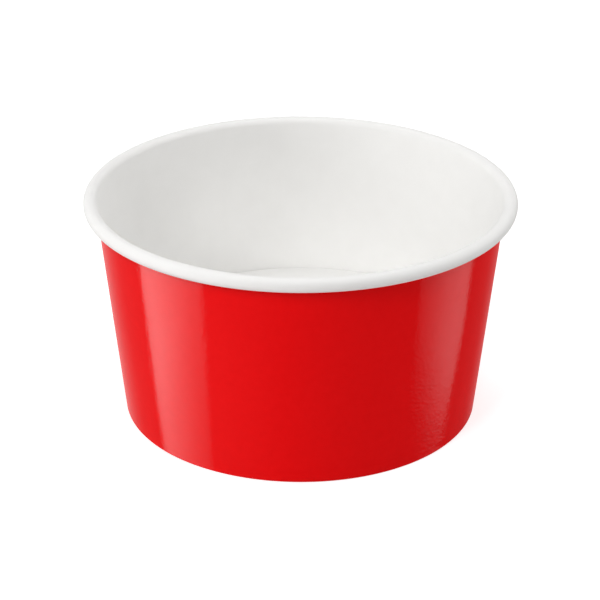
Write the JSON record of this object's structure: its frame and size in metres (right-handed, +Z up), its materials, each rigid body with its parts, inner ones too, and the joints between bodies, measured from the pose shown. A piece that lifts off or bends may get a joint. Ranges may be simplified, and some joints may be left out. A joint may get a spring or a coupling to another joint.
{
  "type": "paper ice cream cup",
  "caption": "Low, wide round paper ice cream cup with a rolled rim, a lapped side seam and a recessed base disc.",
  "frame": {"origin": "centre of the foot, on the surface the cup stands on", "axes": "+Z up along the cup's axis, +Y towards the side seam at the back, so that the pictured front faces -Y"},
  "size_m": [0.092, 0.092, 0.0492],
  "materials": {
    "printed_board": "glossy coated board, printed plain red on its outer face, satin white on its inner face and on the rolled rim",
    "white_board": "satin white coated board"
  },
  "bodies": {
    "root": {"sidewall": "printed_board", "base_disc": "white_board"}
  },
  "joints": []
}
